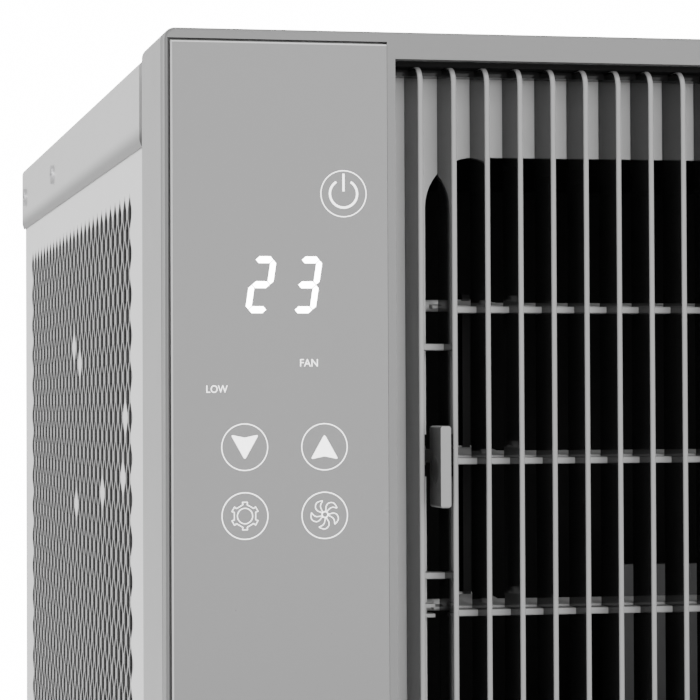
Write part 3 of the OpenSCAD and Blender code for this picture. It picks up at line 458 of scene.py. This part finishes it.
def punched_sheet(name, side, node_name):
    """The whole sheet in the plane of its outer face, welded and given a wall; behind it a black sheet of
    painted shade.
    """
    centre, blank = field_cells()
    points, faces = punched_cells(centre[~blank])
    lo, hi = (np.array(v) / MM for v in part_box(node_name))
    y0, y1 = FIELD_Y0 - STEP, FIELD_Y0 + FIELD_COLUMNS * STEP
    z1, z0 = FIELD_TOP + STEP, FIELD_TOP - (2 * FIELD_ROWS - 1) * STEP
    flat = [p + DIAMOND for p in centre[blank]] + plain_parts(y0, y1, z0, z1, lo[1], hi[1], lo[2], hi[2])
    kinds = np.concatenate([np.zeros(len(faces), int), np.ones(len(flat), int)])
    for q in flat:
        faces.append(np.arange(len(q)) + len(points))
        points = np.vstack([points, q])
    outer = lo[0] if side < 0 else hi[0]
    points = np.column_stack([np.full(len(points), outer), points])
    # The web is darker than the margins, and the hole walls and inner face are near black: painted shade.
    made = piece(name, points, faces, [SHADED_WEB, SHEET, HOLE_WALL_SHADE, SHADE_SHEET, SHADE_SHEET],
                 face_finish=kinds)
    work = bmesh.new()
    work.from_mesh(made.data)
    bmesh.ops.remove_doubles(work, verts=work.verts, dist=1e-6)
    for f in work.faces:
        f.normal_update()
    bmesh.ops.reverse_faces(work, faces=[f for f in work.faces if f.normal.x * side < 0])
    work.to_mesh(made.data)
    work.free()
    wall = thicken(made, SHEET_WALL).modifiers["wall"]
    wall.material_offset, wall.material_offset_rim = 3, 2      # painted shade: near-black inner face and hole walls
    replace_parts(made, node_name)
    # Behind the holes lies a thin black sheet of painted shade.
    behind = sorted([outer - side * SHADE_SHEET_GAP, outer - side * (SHADE_SHEET_GAP + SHADE_SHEET_T)])
    shade_points, sides = bar(behind, (y0 - 2, y1 + 2), (z0 - 2, z1 + 2))
    piece(name + "_painted_shade_sheet", shade_points, sides, SHADE_SHEET)


punched_sheet("punched_side_left", -1, "left_panel")
punched_sheet("punched_side_right", 1, "right_panel")

# %% [markdown]
# The front grille is one moulding: thin upright slats joined by rows of short ribs. Only the front
# edges are silver, and the flanks are glossy and nearly black, so that they mirror what lies behind.
# One slat is a closed loop carried along its outline: up the front, round the bend and back along
# the top. Its two front edges are rounded, and each strip of the loop knows its own finish.

# %% Grille slats
FRONT_Y = -200.0
SLAT_X0, SLAT_PITCH, SLAT_T, SLAT_D = -160.79, 8.6, 1.36, 15.8
SLAT_Z0, SLAT_Z1, SLAT_R = 12.0, 336.8, 5.0
SLATS = 44
EDGE = 0.34                  # radius of a slat's front edge


def slat_outline():
    """Points (y, z) of the outline and of the spine on the rear line that each is paired with:
    bottom run, quarter circle, front, quarter circle, top run."""
    a = np.linspace(0, math.pi / 2, 9)
    yc = FRONT_Y + SLAT_R
    low = np.stack([yc - SLAT_R * np.sin(a), SLAT_Z0 + SLAT_R - SLAT_R * np.cos(a)], 1)
    high = np.stack([yc - SLAT_R * np.cos(a), SLAT_Z1 - SLAT_R + SLAT_R * np.sin(a)], 1)
    back = FRONT_Y + SLAT_D
    run = np.vstack([[[back, SLAT_Z0]], low, high, [[back, SLAT_Z1]]])
    spine = np.stack([np.full(len(run), back), np.clip(run[:, 1], SLAT_Z0 + 0.001, SLAT_Z1 - 0.001)], 1)
    return run, spine


def inward(run):
    """Unit normals of the outline, pointing into the plate: the run's direction turned by 90 degrees."""
    d = np.gradient(run, axis=0)
    d /= np.linalg.norm(d, axis=1)[:, None]
    n = np.stack([d[:, 1], -d[:, 0]], 1)
    towards = np.array([FRONT_Y + SLAT_D - 4, (SLAT_Z0 + SLAT_Z1) / 2]) - run
    flip = np.sign(np.sum(n * np.stack([towards[:, 0], towards[:, 1] * 0.02], 1), 1))
    return n * flip[:, None]


def grille_slats():
    """Cross section: (x, depth) pairs. depth is how far in from the outline the point lies; the last
    pair on each side is on the spine."""
    run, spine = slat_outline()
    norm = inward(run)
    q = np.linspace(0, math.pi / 2, 4)
    h = SLAT_T / 2
    left = np.stack([-h + EDGE - EDGE * np.cos(q), EDGE - EDGE * np.sin(q)], 1)
    section = np.vstack([left, left[::-1] * [-1, 1]])
    n, m = len(run), len(section) + 2
    grid = np.zeros((n, m, 3))
    grid[:, 0, 0], grid[:, -1, 0] = -h, h
    grid[:, 0, 1:] = spine
    grid[:, -1, 1:] = spine
    grid[:, 1:-1, 0] = section[None, :, 0]
    grid[:, 1:-1, 1:] = run[:, None, :] + norm[:, None, :] * section[None, :, 1, None]
    quads = sheet_grid(n, m, close_m=True)
    strip = np.tile(np.arange(m), n - 1)
    silver = ((strip >= 1) & (strip <= m - 3)).astype(int)
    points, faces, kinds = [], [], []
    for i in range(SLATS):
        shifted = grid.reshape(-1, 3) + [SLAT_X0 + h + i * SLAT_PITCH, 0, 0]
        faces.append(quads + i * n * m)
        points.append(shifted)
        kinds.append(silver)
    return np.vstack(points), np.vstack(faces), np.concatenate(kinds)


RIB_Z, RIB_PITCH, RIB_H = 237.3, 38.5, 1.7
RIB_Y0, RIB_Y1 = FRONT_Y + 9.7, FRONT_Y + 14.6


def rib_bars(soft=0.3):
    """A rib is a bar whose two front edges are quarter circles of radius soft. Each row is one bar
    from end to end; the two offset ribs stand beside the lever."""
    h = RIB_H / 2
    a = np.linspace(0, math.pi / 2, 4)
    low = np.stack([RIB_Y0 + soft - soft * np.sin(a), -h + soft - soft * np.cos(a)], 1)
    profile = np.vstack([[[RIB_Y1, -h]], low, low[::-1] * [1, -1], [[RIB_Y1, h]]])
    last = SLAT_X0 + (SLATS - 1) * SLAT_PITCH + SLAT_T
    spans = [(SLAT_X0 + SLAT_PITCH + 0.5 if j >= -1 else SLAT_X0 + 0.3, last - 0.3, RIB_Z + j * RIB_PITCH)
             for j in range(-5, 2)]
    spans += [(SLAT_X0 + 0.5, SLAT_X0 + SLAT_PITCH + 0.7, RIB_Z + d) for d in (-28.95, 29.0)]
    points, faces = [], []
    for x0, x1, z in spans:
        start = sum(len(p) for p in points)
        ends = [np.column_stack([np.full(len(profile), x), profile + [0, z]]) for x in (x0, x1)]
        points.append(np.vstack(ends))
        faces += [f for f in sheet_grid(2, len(profile), close_m=True, start=start)]
        faces += [np.arange(len(profile)) + start, np.arange(len(profile))[::-1] + start + len(profile)]
    return np.vstack(points), faces


RAIL_X = (-166.37, 215.97)
RAIL_H = 1.6


def rails():
    """The thin plates along the slats' upper and lower ends that carry them."""
    low = [[RAIL_X[0], RIB_Y0 + 1, z] for z in (SLAT_Z0, SLAT_Z1 - RAIL_H)]
    return boxes([RAIL_X[1] - RAIL_X[0], FRONT_Y + SLAT_D - RIB_Y0 - 1, RAIL_H], low)


slat_points, slat_faces, slat_kinds = grille_slats()
rib_points, rib_faces = rib_bars()
rail_points, rail_faces = rails()
faces = list(slat_faces) + [f + len(slat_points) for f in rib_faces]
faces += [f + len(slat_points) + len(rib_points) for f in rail_faces]
kinds = np.concatenate([slat_kinds, np.full(len(rib_faces), 2), np.zeros(len(rail_faces), int)])
grille = piece("grille_slats", np.vstack([slat_points, rib_points, rail_points]), faces,
               [GRILLE_DARK, GRILLE_FRONT, GRILLE_RIB_PAINTED_LIGHT], face_finish=kinds)
work = bmesh.new()
work.from_mesh(grille.data)
bmesh.ops.remove_doubles(work, verts=work.verts, dist=1e-7)
bmesh.ops.recalc_face_normals(work, faces=work.faces)
work.to_mesh(grille.data)
work.free()
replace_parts(grille, "front_grille")

# %% [markdown]
# A strip of black foam closes the slit between the grille's upper rail and the housing as painted
# shade, so that the slats seem to bend back into darkness. It is a plain bar, and a second one does the
# same below.

# %% Grille shade bars
SHADE_BAR_X, SHADE_BAR_Y = (-166.5, 216.1), (-195.6, -184.3)
for name, z in (("upper_shade_bar", (336.85, 338.15)), ("lower_shade_bar", (8.55, 11.95))):
    points, faces = bar(SHADE_BAR_X, SHADE_BAR_Y, z)
    piece(name, points, faces, BLACK_FOAM)

# %% [markdown]
# The touch glass lies in its seat with a thin dark gap on its left. Its edges are ground to a small
# bevel that catches the light as a fine bright line, so the plate is a new piece: rectangular rings
# that step in over the bevel, closed by a flat front and a flat back. The bevels have a light finish
# of their own, a painted highlight that draws the bright line.

# %% Touch glass
GLASS_X = (-223.25, -168.62)
GLASS_Z = (3.2, 341.8)
GLASS_Y = (FRONT_Y, FRONT_Y + 2.4)
BEVEL = 0.42
SHALLOW = 0.12               # the right edge meets the trim, so it is only broken


def bevelled_plate(xs, zs, ys, bevel, shallow):
    """Three rings of four corners: front (drawn in by the bevel), front edge, rear. The right edge is
    drawn in by shallow, the others by bevel."""
    rings = []
    for y, k in ((ys[0], 1), (ys[0] + bevel, 0), (ys[1], 0)):
        d, e = k * bevel, k * shallow
        rings.append([[xs[0] + d, y, zs[0] + d], [xs[1] - e, y, zs[0] + d],
                      [xs[1] - e, y, zs[1] - d], [xs[0] + d, y, zs[1] - d]])
    points = np.array(rings).reshape(-1, 3)
    faces = [[0, 1, 2, 3], [8, 11, 10, 9]]
    for k in (0, 1):
        for i in range(4):
            j = (i + 1) % 4
            faces.append([k * 4 + i, (k + 1) * 4 + i, (k + 1) * 4 + j, k * 4 + j])
    return points, faces


points, faces = bevelled_plate(GLASS_X, GLASS_Z, GLASS_Y, BEVEL, SHALLOW)
# The bevel faces take the painted highlight.
edge = [int(2 <= k <= 5) for k in range(len(faces))]          # the four bevel faces
touch_glass = piece("touch_glass", points, faces, [GLASS, GLASS_BEVEL_HIGHLIGHT],
                    face_finish=edge)
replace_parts(touch_glass, "control_glass")

# %% [markdown]
# The symbols are printed on the glass and lit from behind. They are thin flat shapes that lie just
# proud of it: rings and lines are ribbons, which follow a path with half their width on each side,
# and solid marks are filled outlines. All of them are drawn in glass coordinates, right and up.

# %% Flat marks on the glass
PRINT_T = 0.03               # thickness of the print
PRINT_Y = FRONT_Y - PRINT_T
GX, GZ = GLASS_X[0], 250.5


def to_glass(flat):
    """(u, v) on the glass, from its left edge and eye height, to x, y, z."""
    flat = np.asarray(flat, float)
    return np.column_stack([GX + flat[:, 0], np.full(len(flat), PRINT_Y), GZ + flat[:, 1]])


def ribbon(path, width, closed):
    """Two rows of points: path +- width/2 * normal, the normal being the direction turned by 90
    degrees."""
    path = np.asarray(path, float)
    if closed:
        d = np.roll(path, -1, 0) - np.roll(path, 1, 0)
    else:
        d = np.gradient(path, axis=0)
    d /= np.linalg.norm(d, axis=1)[:, None]
    n = np.stack([-d[:, 1], d[:, 0]], 1) * width / 2
    rows = np.vstack([path + n, path - n])
    k = len(path)
    i = np.arange(k if closed else k - 1)
    j = (i + 1) % k
    return rows, np.stack([i, j, j + k, i + k], 1)


def circle(cx, cz, r, a0=0.0, a1=2 * math.pi, count=48):
    """Points of an arc, r (cos a, sin a) about the centre."""
    a = np.linspace(a0, a1, count, endpoint=abs(a1 - a0 - 2 * math.pi) > 1e-9)
    return np.stack([cx + r * np.cos(a), cz + r * np.sin(a)], 1)


def marks(name, parts, finish_used):
    """parts is a list of (flat points, faces). They become one piece on the glass, facing the room."""
    points, faces = [], []
    for p, f in parts:
        start = sum(len(q) for q in points)
        points.append(to_glass(p))
        faces += [np.asarray(g) + start for g in f]
    made = piece(name, np.vstack(points), faces, finish_used)
    work = bmesh.new()
    work.from_mesh(made.data)
    work.normal_update()
    bmesh.ops.reverse_faces(work, faces=[f for f in work.faces if f.normal.y > 0])
    work.to_mesh(made.data)
    work.free()
    thicken(made, PRINT_T)


BUTTONS = {"down": (18.19, -9.13), "up": (38.24, -9.16),
           "settings": (18.20, -26.10), "fan": (38.23, -26.16)}
RING_R, LINE = 5.74, 0.22
marks("button_rings", [ribbon(circle(*c, RING_R, count=72), LINE, True) for c in BUTTONS.values()], PRINT)


ARROW = np.array([[0, 3.15], [3.5, -3.1], [0, -2.35], [-3.5, -3.1]])
ARROW_CUT = (0.748, 0.748, 0.33, 0.748)     # how far each corner's curve reaches along its edges


def arrow_mark(cx, cz, s):
    """A notched arrowhead with soft corners, pointing up for s = 1: each corner is replaced by a
    quadratic curve between two points on the edges next to it."""
    corner = ARROW * [1, s]
    out = []
    t = np.linspace(0, 1, 7)[:, None]
    for i, (c, cut) in enumerate(zip(corner, ARROW_CUT)):
        a, b = (c + (q - c) * cut / np.linalg.norm(q - c) for q in (corner[i - 1], corner[(i + 1) % 4]))
        out.append((1 - t) ** 2 * a + 2 * t * (1 - t) * c + t ** 2 * b)
    outline = np.vstack(out) + [cx, cz]
    middle = np.array([[cx, cz - 0.4 * s]])
    i = np.arange(len(outline))
    fan = np.stack([i, (i + 1) % len(i), np.full(len(i), len(i))], 1)
    return np.vstack([outline, middle]), fan


marks("arrow_marks", [arrow_mark(*BUTTONS["down"], -1), arrow_mark(*BUTTONS["up"], 1)], PRINT)


def along(corners, step=0.1):
    """A closed line through the corners, with a point every step or so on its straight parts."""
    corners = np.asarray(corners, float)
    path = []
    for a, b in zip(corners, np.roll(corners, -1, 0)):
        count = max(1, round(np.linalg.norm(b - a) / step))
        path.append(a + (b - a) * (np.arange(count) / count)[:, None])
    return np.vstack(path)


def gear_line(cx, cz, teeth=6):
    """Each tooth is four corners (across, out): two at its root and two, slightly farther apart, at
    its tip. The teeth are turned round the centre, and straight lines join them."""
    tooth = np.array([[0.52, 2.78], [0.66, 3.40], [-0.66, 3.40], [-0.52, 2.78]])
    turns = 2 * math.pi * np.arange(teeth) / teeth
    rows = [np.stack([tooth[:, 0] * math.cos(a) - tooth[:, 1] * math.sin(a),
                      tooth[:, 0] * math.sin(a) + tooth[:, 1] * math.cos(a)], 1) for a in turns]
    return along(np.vstack(rows) + [cx, cz])


BLADE_R = np.array([0.78, 1.08, 2.03, 2.84, 3.34, 3.59, 3.56, 3.45, 3.13, 2.69, 2.17, 1.53, 0.80])
BLADE_TURN = np.array([5, 7, 10.5, 2.8, -8.8, -18.9, -28.9, -44.5, -39.6, -30.1, -22.7, -19.5, -12])
BLADES = 5


def blade_line(cx, cz, k):
    """One curved fan blade as a closed line: radius and angle (degrees) go out along its bowed edge,
    round the tip and back. Blade k is turned by k parts of a circle."""
    steps = np.linspace(0, len(BLADE_R) - 1, 60)
    r = np.interp(steps, np.arange(len(BLADE_R)), BLADE_R)
    a = np.radians(np.interp(steps, np.arange(len(BLADE_R)), BLADE_TURN) + 360 * k / BLADES)
    return np.stack([cx + r * np.cos(a), cz + r * np.sin(a)], 1)


HUB_SHIFT = (0.06, 0.20)                    # the fan's hub is a little off its ring's centre
GEAR_LINE, BLADE_LINE, POWER_LINE = 0.20, 0.20, 0.56
GEAR_HOLE_R, HUB_R, HUB_LINE = 1.91, 0.74, 0.24
POWER, POWER_R, POWER_GAP = (43.33, 53.76), 3.45, math.radians(32)
gear_at, fan_at = BUTTONS["settings"], np.add(BUTTONS["fan"], HUB_SHIFT)
marks("settings_mark", [ribbon(gear_line(*gear_at), GEAR_LINE, True),
                        ribbon(circle(*gear_at, GEAR_HOLE_R), GEAR_LINE, True)], PRINT)
marks("fan_mark", [ribbon(blade_line(*fan_at, k), BLADE_LINE, True) for k in range(BLADES)]
      + [ribbon(circle(*fan_at, HUB_R, count=24), HUB_LINE, True)], PRINT)
marks("power_ring", [ribbon(circle(*POWER, RING_R, count=72), LINE, True)], PRINT)
top = math.pi / 2
arc = circle(*POWER, POWER_R, top + POWER_GAP, top + 2 * math.pi - POWER_GAP, 60)
stem = np.array([[POWER[0], POWER[1] + 0.6], [POWER[0], POWER[1] + 5.0]])
marks("power_mark", [ribbon(arc, POWER_LINE, False), ribbon(stem, POWER_LINE, False)], PRINT)

# %% [markdown]
# The display is two seven-segment digits. A segment is a bar with pointed ends; the whole digit
# leans to the right, so x grows with z by the tangent of the slant. The same six-cornered bar is
# placed seven times, and each digit lists the bars that are lit.

# %% Digits and words
SEG, UPRIGHT, DIGIT_W, DIGIT_H = 1.66, 1.42, 6.0, 14.05
SLANT = math.tan(math.radians(8.5))
LIT_SEGMENTS = {"2": "abged", "3": "abgcd"}


def segment(x0, z0, x1, z1):
    """A bar from one point to another with ends cut to 45 degree points. Upright bars are thinner."""
    a, b = np.array([x0, z0], float), np.array([x1, z1], float)
    d = (b - a) / np.linalg.norm(b - a)
    c = (SEG if abs(d[0]) > abs(d[1]) else UPRIGHT) / 2
    n = np.array([-d[1], d[0]]) * c
    return np.array([a, a + d * c + n, b - d * c + n, b, b - d * c - n, a + d * c - n])


def digit(char, left, low):
    """The lit bars of one digit; gap is the slit between bars."""
    gap = 0.12
    xa, xb = UPRIGHT / 2, DIGIT_W - UPRIGHT / 2
    za, zm, zb = SEG / 2, DIGIT_H / 2, DIGIT_H - SEG / 2
    ends = {"a": (xa + gap, zb, xb - gap, zb), "b": (xb, zm + gap, xb, zb - gap),
            "c": (xb, za + gap, xb, zm - gap), "d": (xa + gap, za, xb - gap, za),
            "e": (xa, za + gap, xa, zm - gap), "f": (xa, zm + gap, xa, zb - gap),
            "g": (xa + gap, zm, xb - gap, zm)}
    out = []
    for s in LIT_SEGMENTS[char]:
        p = segment(*ends[s])
        p = np.stack([left + p[:, 0] + p[:, 1] * SLANT, low + p[:, 1]], 1)
        out.append((p, [[0, 1, 2, 3, 4, 5]]))
    return out


marks("temperature_digits", digit("2", 18.35, 24.0) + digit("3", 29.95, 24.0), LIT)


def word(name, text, cap_height, left, right, low):
    """Plain capitals: a text curve, made a mesh, scaled so that its letters fill the given box."""
    curve = bpy.data.curves.new(name, "FONT")
    curve.body = text
    curve.size = 1.0
    holder = bpy.data.objects.new(name + "_curve", curve)
    bpy.context.scene.collection.objects.link(holder)
    bpy.context.view_layer.update()
    graph = bpy.context.evaluated_depsgraph_get()
    mesh = bpy.data.meshes.new_from_object(holder.evaluated_get(graph))
    bpy.data.objects.remove(holder)
    flat = np.zeros(len(mesh.vertices) * 3)
    mesh.vertices.foreach_get("co", flat)
    flat = flat.reshape(-1, 3)[:, :2]
    lo, hi = flat.min(0), flat.max(0)
    scaled = (flat - lo) / (hi - lo) * [right - left, cap_height] + [left, low]
    faces = [list(p.vertices) for p in mesh.polygons]
    bpy.data.meshes.remove(mesh)
    marks(name, [(scaled, faces)], PRINT)


word("fan_word", "FAN", 1.84, 32.17, 36.64, 10.77)
word("low_word", "LOW", 1.84, 8.69, 13.97, 4.32)

# %% [markdown]
# A parting groove runs round the bezel between the front ring and the housing. It is narrow and
# deep, so the eye sees a fine black line. Light that strikes its rear edge would wash that line out,
# and a dark band of painted shade set just under the surface keeps it: the bezel's outline carried along
# the groove.

# %% Parting line
HALF_W, BODY_H, CORNER_R = 225.0, 345.0, 3.0


def parting_shade_band(inset=0.02, y0=-195.84, y1=-194.96, steps=8):
    """Rounded rectangle drawn in by inset: four arcs of radius r - inset; two rows, at y0 and y1."""
    r = CORNER_R - inset
    corner = [(HALF_W - CORNER_R, CORNER_R, -90), (HALF_W - CORNER_R, BODY_H - CORNER_R, 0),
              (-HALF_W + CORNER_R, BODY_H - CORNER_R, 90), (-HALF_W + CORNER_R, CORNER_R, 180)]
    a = np.radians(np.linspace(0, 90, steps)[None] + np.array([c[2] for c in corner])[:, None])
    x = (np.array([c[0] for c in corner])[:, None] + r * np.cos(a)).ravel()
    z = (np.array([c[1] for c in corner])[:, None] + r * np.sin(a)).ravel()
    rows = [np.column_stack([x, np.full_like(x, y), z]) for y in (y0, y1)]
    return np.vstack(rows), sheet_grid(2, len(x), close_m=True)


points, faces = parting_shade_band()
thicken(piece("parting_shade_band", points, faces, BLACK), 0.5)

# %% [markdown]
# The coils are packs of thin aluminium fins. In the CAD they are blocks; here each fin is a thin
# plate of its own, so that the rear shows fine upright lines with dark between them.

# %% Coil fins
FIN_T, FIN_INSET = 0.25, 0.4


def fin_pack(name, node_name, pitch):
    """Plates at x = x0 + i pitch, each a box over the coil's depth and height."""
    lo, hi = (np.array(v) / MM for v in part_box(node_name))
    xs = np.arange(lo[0] + FIN_INSET, hi[0] - FIN_INSET, pitch)
    low = np.stack([xs, np.full_like(xs, lo[1]), np.full_like(xs, lo[2])], 1)
    points, faces = boxes([FIN_T, hi[1] - lo[1], hi[2] - lo[2]], low)
    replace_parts(piece(name, points, faces, FINS), node_name)


fin_pack("condenser_fin_pack", "condenser_fins", 1.7)
fin_pack("evaporator_fin_pack", "evaporator_fins", 1.6)

# %% [markdown]
# The filter is a net of fine nylon threads in each pane of its frame: one set of threads runs
# across, the other up, and each thread is a thin four-sided rod.

# %% Filter net


def filter_net(pitch=2.4, thread=0.5):
    """Rods across and up over the net's box, one thread's thickness apart in depth."""
    lo, hi = (np.array(v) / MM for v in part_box("filter_mesh"))
    y = (lo[1] + hi[1]) / 2
    a, b = np.arange(lo[0], hi[0], pitch), np.arange(lo[2], hi[2], pitch)
    foot = np.stack([a, np.full_like(a, y - thread), np.full_like(a, lo[2])], 1)
    head = np.stack([np.full_like(b, lo[0]), np.full_like(b, y), b], 1)
    up, up_faces = boxes([thread, thread, hi[2] - lo[2]], foot)
    along, along_faces = boxes([hi[0] - lo[0], thread, thread], head)
    made = piece("filter_net", np.vstack([up, along]), np.vstack([up_faces, along_faces + len(up)]), NET,
                 body="filter")
    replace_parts(made, "filter_mesh")


filter_net()

# %% [markdown]
# The floor is a pale disc just under the feet of the cabinet, wide enough for every shadow. It is
# part of the stage and not of the object.

# %% Floor
FLOOR_R, FLOOR_Z, FLOOR_SIDES = 1.45, -0.0003, 96      # metres
rim = np.linspace(0, 2 * math.pi, FLOOR_SIDES, endpoint=False)
disc = np.column_stack([FLOOR_R * np.cos(rim), FLOOR_R * np.sin(rim), np.full(FLOOR_SIDES, FLOOR_Z)])
floor_mesh = bpy.data.meshes.new("floor")
floor_mesh.from_pydata(disc.tolist(), [], [list(range(FLOOR_SIDES))])
floor_mesh.materials.append(FLOOR)
floor = bpy.data.objects.new("floor", floor_mesh)
bpy.context.scene.collection.objects.link(floor)
print("floor radius (m):", FLOOR_R)
